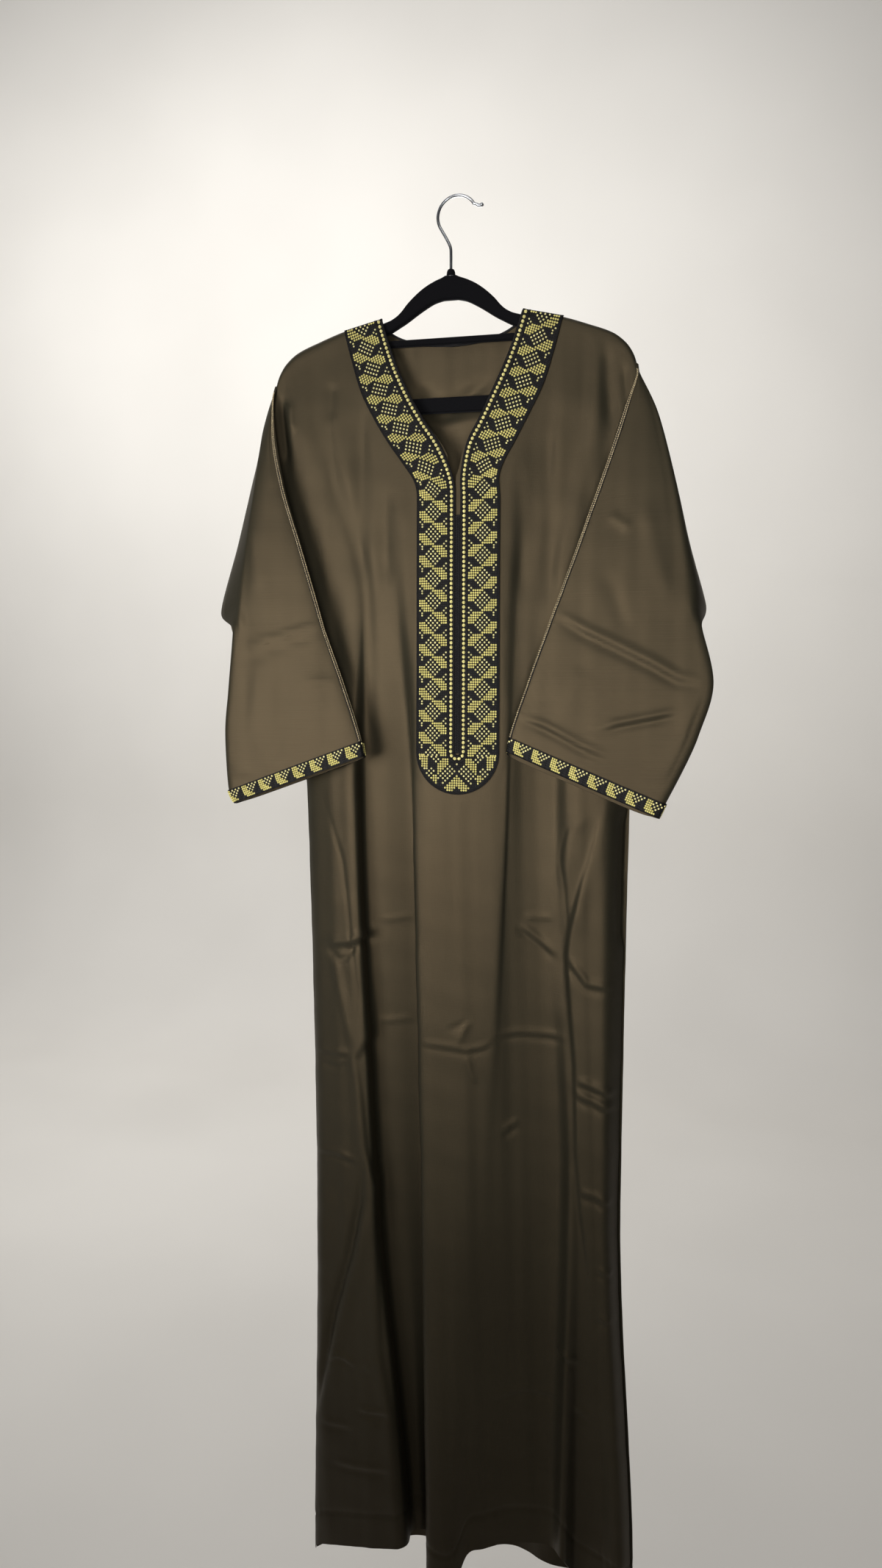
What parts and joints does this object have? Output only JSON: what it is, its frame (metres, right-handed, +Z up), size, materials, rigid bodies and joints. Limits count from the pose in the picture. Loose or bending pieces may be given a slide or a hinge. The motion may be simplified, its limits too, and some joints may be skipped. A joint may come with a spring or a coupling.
{
  "type": "thobe on hanger",
  "caption": "Long thobe with an embroidered V neck, round-ended placket, beaded slit and piped, banded sleeves, hanging on a velvet hanger.",
  "frame": {"origin": "the point under the crown of the hanger's hook, where a nail or a rail carries it", "axes": "+Z up, the front of the robe faces -Y, +X to the right of someone who looks at the front"},
  "size_m": [0.5641, 0.0855, 1.6011],
  "materials": {
    "cloth": "plain weave with a soft satin sheen",
    "embroidery": "counted-stitch gold and cream dots on a black ground",
    "beads": "row of round gold stitched beads between black borders",
    "braid": "black plaited thread",
    "piping": "bronze and gold chain stitch",
    "velvet": "flocked velvet, matt",
    "chrome": "bright plated wire"
  },
  "bodies": {
    "root": {"front": "cloth", "back": "cloth", "sleeve_left": "cloth", "sleeve_right": "cloth", "pocket_left": "cloth", "pocket_right": "cloth", "placket_band": "embroidery", "neck_band_left": "embroidery", "neck_band_right": "embroidery", "cuff_band_left": "embroidery", "cuff_band_right": "embroidery", "bead_trim_left": "beads", "bead_trim_right": "beads", "front_closure": "braid", "neck_binding": "braid", "sleeve_piping_left": "piping", "sleeve_piping_right": "piping", "hanger_arms": "velvet", "hanger_upper_bar": "velvet", "hanger_lower_bar": "velvet", "hanger_ferrule": "velvet", "hanger_hook": "chrome"}
  },
  "joints": []
}
